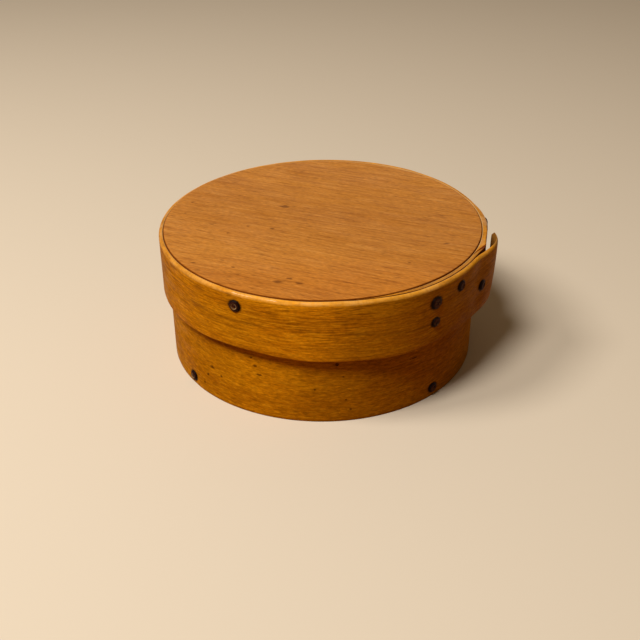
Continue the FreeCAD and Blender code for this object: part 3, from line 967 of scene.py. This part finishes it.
bareLook = {
    "light": ink(196, 150, 92), "dark": ink(178, 130, 74), "streak": ink(148, 104, 56), "streakShare": 0.5,
    "cloud": ink(150, 106, 62), "cloudShare": 0.55, "aged": ink(138, 86, 20), "agedShare": 0.9,
    "agedFade": 10.0,
    "agedFrom": alongAt(lidBandPlan, fullTurn - 28.0),  # metres: the lid's free end has seen the light
    "fineScale": (22, 1300, 900), "midScale": (8, 300, 200), "cloudScale": (35, 50, 0),
    "gloss": (0.6, 0.75), "shine": 0.15, "relief": 0.05,
}


def boardFinish(name, plan, look):
    # flat-sawn board: the grain runs along X once the place is turned
    f = Finish(name, look, plan)
    place = f.objectPlace()
    turned = f.node("Mapping", vector_type="POINT")
    f.feed(turned.inputs["Vector"], place)
    turned.inputs["Rotation"].default_value = (0, 0, math.radians(look["grainTurn"]))
    grain, _ = f.drifted(turned.outputs["Vector"], look["driftScale"], look["drift"])
    streaks = f.noise(grain, look["streakScale"], 2.0, 0.6)
    dashes = f.noise(grain, look["dashScale"])
    colour = f.blend(f.span(f.noise(grain, look["broadScale"]), *midNoise), look["dark"], look["light"])
    colour = f.wash(colour, "cloud", f.noise(place, look["cloudScale"], 3.0, 0.6), 0.4, 0.75)
    colour = f.wash(colour, "deep", f.noise(grain, look["deepScale"]), 0.45, 0.7)
    colour = f.wash(colour, "pale", streaks, 0.5, 0.3)
    colour = f.wash(colour, "streak", streaks, 0.5, 0.7)
    colour = f.wash(colour, "dash", dashes, 0.6, 0.7)
    colour = f.gain(colour, f.tone(f.noise(grain, look["fibreScale"], 1.0), look["fibreTone"]))
    # painted shade: the board is darker and warmer towards the front, as it catches less sheen there than at
    # the back
    front = f.span(f.split(place)[1], look["frontFrom"] * mm, look["frontFull"] * mm)
    colour = f.blend(front, colour, f.blend(1.0, colour, look["frontShadeTint"], "MULTIPLY"))
    marks = [[part * mm for part in mark] for mark in look["marks"]]
    ragged = f.span(f.noise(grain, look["markScale"]), *midNoise, 0.7, 1.6)
    colour = f.wash(colour, "mark", f.times(f.spots(place, marks), ragged), 1.1, 0.3)
    # the board is darker in a thin line along its rim, where it meets the band, more on some stretches than
    # on others
    radius = plan["radius"]
    darker = []
    for angle, reach in look["rimDark"]:
        turn = math.radians(angle)
        darker.append((radius * mm * math.cos(turn), radius * mm * math.sin(turn), reach * mm, reach * mm))
    share = f.span(f.spots(place, darker), 1.2, 0.5, *look["rimShare"])
    inner, outer = [(radius - depth) * mm for depth in look["rimLine"]]
    rim = f.times(f.span(f.read("fromMiddle"), inner, outer), share)
    colour = f.blend(rim, colour, look["rim"])
    gloss = f.span(f.noise(grain, look["glossScale"], 3.0), *midNoise, *look["gloss"])
    relief = f.plus(f.times(streaks, 0.7), f.times(dashes, -0.4))
    return f.shade(colour, f.plus(gloss, f.times(rim, 0.5)), f.bump(relief, look["relief"] * mm),
                   IOR=finishIor, Specular_IOR_Level=look["shine"])


lidBoardLook = {
    "light": ink(179, 116, 45), "dark": ink(166, 105, 39), "deep": ink(150, 90, 30),
    "streak": ink(125, 69, 18), "pale": ink(193, 134, 68), "dash": ink(96, 45, 10), "cloud": ink(162, 98, 42),
    "mark": ink(80, 35, 7), "rim": ink(96, 42, 0),
    "deepShare": 0.4, "streakShare": 0.5, "paleShare": 0.36, "dashShare": 0.36,
    "cloudShare": 0.25, "fibreTone": 0.22, "markShare": 0.65, "rimLine": (0.5, 0.15), "rimShare": (0.9, 1.0),
    "rimDark": [(-82.0, 14.0), (-38.0, 26.0)], "grainTurn": 21.0, "driftScale": (10, 20, 12), "drift": 2.0,
    "streakScale": (64, 860, 300), "dashScale": (200, 1300, 400), "fibreScale": (520, 2300, 900),
    "deepScale": (16, 300, 100), "broadScale": (5, 45, 30), "cloudScale": (30, 30, 24),
    "markScale": (300, 1200, 0), "glossScale": (30, 120, 30),
    "frontFrom": -22.0, "frontFull": -56.0, "frontShadeTint": (0.95, 0.86, 0.72, 1.0),
    "marks": [(-15.5, 14.0, 4.2, 1.7), (-55.6, 7.8, 1.2, 0.9), (-54.0, 18.6, 1.2, 0.9),
              (-43.8, -2.6, 1.6, 0.7), (-29.3, -4.5, 1.0, 0.8), (-19.7, -6.9, 1.2, 0.9),
              (-36.8, -10.7, 1.0, 0.7), (-47.5, -35.2, 1.4, 1.0), (-32.6, -38.8, 1.0, 0.8),
              (32.2, -36.0, 1.1, 0.9), (47.8, -20.3, 1.2, 0.8), (-15.5, -50.0, 2.4, 1.7),
              (-8.0, -51.3, 2.2, 1.5), (-11.6, -47.6, 1.6, 1.0)],
    "gloss": (0.4, 0.55), "shine": 0.045, "relief": 0.05,
}
boxBottomLook = dict(lidBoardLook)
boxBottomLook.update({
    "grainTurn": -62.0, "light": ink(190, 144, 88), "dark": ink(172, 124, 70), "deep": ink(152, 106, 58),
    "streak": ink(136, 92, 50), "pale": ink(204, 162, 108), "dash": ink(104, 66, 36),
    "cloud": ink(148, 104, 60), "mark": ink(90, 58, 34),
    "marks": [(12.0, 20.0, 4.0, 2.0), (-25.0, -8.0, 2.0, 1.5)],
    "gloss": (0.58, 0.72), "shine": 0.15,
})


def ironFinish(name, look):
    f = Finish(name, look)
    place = f.objectPlace()
    middle = f.read("fromMiddle")
    pitted = f.noise(place, (look["pitScale"],) * 3, 3.0, 0.6)
    patch = f.noise(place, (look["patchScale"],) * 3)
    colour = f.blend(f.span(patch, 0.4, 0.6), look["rust"], look["dark"])
    colour = f.wash(colour, "worn", pitted, 0.52, 0.62, f.span(middle, 0.4, 0.7, 1.0, 0.3))
    # the rim of each head is darkened: grime, and painted shade where the head meets the wood
    colour = f.wash(colour, "grimeAndShade", middle, 0.58, 0.88)
    # painted highlight: a pale ring on the heads that stand further left, for the glint on their dished rims;
    # faint on the heads further right
    glintRing = f.times(f.span(middle, 0.36, 0.42), f.span(middle, 0.5, 0.56, 1.0, 0.0),
                   f.span(patch, 0.42, 0.55, 0.35, 1.0))
    share = f.span(f.split(place)[0], look["glintRingUntil"] * mm, look["glintRingFrom"] * mm, 0.1, look["glintRingShare"])
    colour = f.blend(f.times(glintRing, share), colour, look["glintRing"])
    return f.shade(colour, f.span(pitted, *midNoise, *look["gloss"]), f.bump(pitted, look["relief"] * mm),
                   IOR=finishIor, Specular_IOR_Level=look["shine"])


ironLook = {
    "dark": ink(46, 12, 7), "rust": ink(66, 26, 8), "worn": ink(122, 90, 46), "wornShare": 0.55,
    # grimeAndShade darkens the rim of each head; glintRing is a painted highlight
    "grimeAndShade": ink(16, 4, 2), "grimeAndShadeShare": 0.95, "glintRing": ink(156, 128, 86), "glintRingShare": 0.7,
    "glintRingFrom": -24.0, "glintRingUntil": -8.0, "pitScale": 1100, "patchScale": 500,
    "gloss": (0.4, 0.65), "shine": 0.06, "relief": 0.1,
}

lidBandWood = bandFinish("varnishedLidBand", lidBandPlan, lidBandLook)
boxBandWood = bandFinish("varnishedBoxBand", boxBandPlan, boxBandLook)
bareWood = bareFinish("bareInnerFace", bareLook)
lidBoardWood = boardFinish("varnishedLidBoard", lidBoardPlan, lidBoardLook)
boxBottomWood = boardFinish("bareBottomBoard", boxBottomPlan, boxBottomLook)
tackIron = ironFinish("forgedTackIron", ironLook)
for piece, finishes in ((lidBand, (lidBandWood, bareWood)), (boxBand, (boxBandWood, bareWood)),
                        (lidBoard, (lidBoardWood,)), (boxBottom, (boxBottomWood,)),
                        (lidRimTacks, (tackIron,)), (lidLapTacks, (tackIron,)),
                        (boxBottomTacks, (tackIron,)), (boxLapTacks, (tackIron,))):
    indices = [polygon.material_index for polygon in piece.data.polygons]
    piece.data.materials.clear()
    for finish in finishes:
        piece.data.materials.append(finish)
    if len(finishes) > 1:
        piece.data.polygons.foreach_set("material_index", indices)
print("finishes laid")

fitToFrame(lidBand, "lid", "band_wood", "lid_band")
fitToFrame(boxBand, "box", "band_wood", "box_band")
fitToFrame(lidBoard, "lid", "board_wood", "lid_top")
fitToFrame(boxBottom, "box", "board_wood", "box_bottom")
fitToFrame(lidRimTacks, "lid", "tack_iron", "lid_rim_tacks")
fitToFrame(lidLapTacks, "lid", "tack_iron", "lid_lap_tacks")
fitToFrame(boxBottomTacks, "box", "tack_iron", "box_bottom_tacks")
fitToFrame(boxLapTacks, "box", "tack_iron", "box_lap_tacks")
print("pieces fitted to the frame")

stagePlan = {  # the floor's size is metres
    "floorSize": 8.0, "floor": ink(208, 194, 176), "floorBounce": ink(138, 97, 54), "floorRough": 0.9,
    "sky": ink(232, 228, 222), "shown": 0.9, "room": ink(238, 206, 160),
    "ambient": 0.135, "wallLight": 0.45, "wallFrom": 0.35, "wallFull": 0.8,
}
lampPlan = {  # sizes and distances are metres
    "away": 1.1, "aimHeight": 0.03, "colour": (1.0, 0.96, 0.88),
    "lamps": {"left": {"azimuth": -165.0, "elevation": 50.0, "size": 0.32, "watts": 6.4},
              "front": {"azimuth": -129.0, "elevation": 60.0, "size": 0.34, "watts": 9.4}},
}
cameraPlan = {"place": (0.0, -347.62, 219.06), "lens": 53.76, "sensor": 36.0, "near": 10.0,
              "tilt": 58.567, "turn": 0.1564, "roll": -0.279}

deselectAll()
bpy.ops.mesh.primitive_plane_add(size=stagePlan["floorSize"], location=(0, 0, 0))
floor = bpy.context.object
floor.name = "floor"
floorFinish = Finish("paleFloor")
floorColour = floorFinish.blend(floorFinish.showsStage(), stagePlan["floorBounce"], stagePlan["floor"])
floorPaint = floorFinish.shade(floorColour, stagePlan["floorRough"], None, Specular_IOR_Level=0.0)
floor.data.materials.append(floorPaint)

world = bpy.data.worlds.new("paleRoom")
bpy.context.scene.world = world
world.use_nodes = True
room = Nodes(world.node_tree)
background = world.node_tree.nodes["Background"]
shown = room.showsStage()
northward = room.split(room.node("TexCoord").outputs["Generated"])[1]
wallLight = room.span(northward, stagePlan["wallFrom"], stagePlan["wallFull"],
                      stagePlan["ambient"], stagePlan["wallLight"])  # a pale wall stands behind the box
strength = room.node("Mix")
for index, value in ((0, shown), (2, wallLight), (3, stagePlan["shown"])):
    room.feed(strength.inputs[index], value)
room.feed(background.inputs["Strength"], strength.outputs[0])
room.feed(background.inputs["Color"], room.blend(shown, stagePlan["room"], stagePlan["sky"]))

for lampName, lamp in lampPlan["lamps"].items():
    light = bpy.data.lights.new(lampName, "AREA")
    light.shape = "DISK"
    light.size = lamp["size"]
    light.energy = lamp["watts"]
    light.color = lampPlan["colour"]
    holder = bpy.data.objects.new(lampName, light)
    turn, lift = math.radians(lamp["azimuth"]), math.radians(lamp["elevation"])
    toLamp = Vector((math.cos(lift) * math.cos(turn), math.cos(lift) * math.sin(turn), math.sin(lift)))
    holder.location = toLamp * lampPlan["away"] + Vector((0, 0, lampPlan["aimHeight"]))
    holder.rotation_euler = toLamp.to_track_quat("Z", "Y").to_euler()
    bpy.context.scene.collection.objects.link(holder)

cameraData = bpy.data.cameras.new("camera")
cameraData.sensor_width = cameraPlan["sensor"]
cameraData.lens = cameraPlan["lens"]
cameraData.clip_start = cameraPlan["near"] * mm
camera = bpy.data.objects.new("camera", cameraData)
bpy.context.scene.collection.objects.link(camera)
camera.matrix_world = (
    Matrix.Translation(Vector(cameraPlan["place"]) * mm)
    @ Matrix.Rotation(math.radians(cameraPlan["turn"]), 4, "Z")
    @ Matrix.Rotation(math.radians(cameraPlan["tilt"]), 4, "X")
    @ Matrix.Rotation(math.radians(cameraPlan["roll"]), 4, "Z"))
bpy.context.scene.camera = camera
bpy.context.scene.view_settings.view_transform = "Standard"
print("stage, lamps and camera set")

deselectAll()
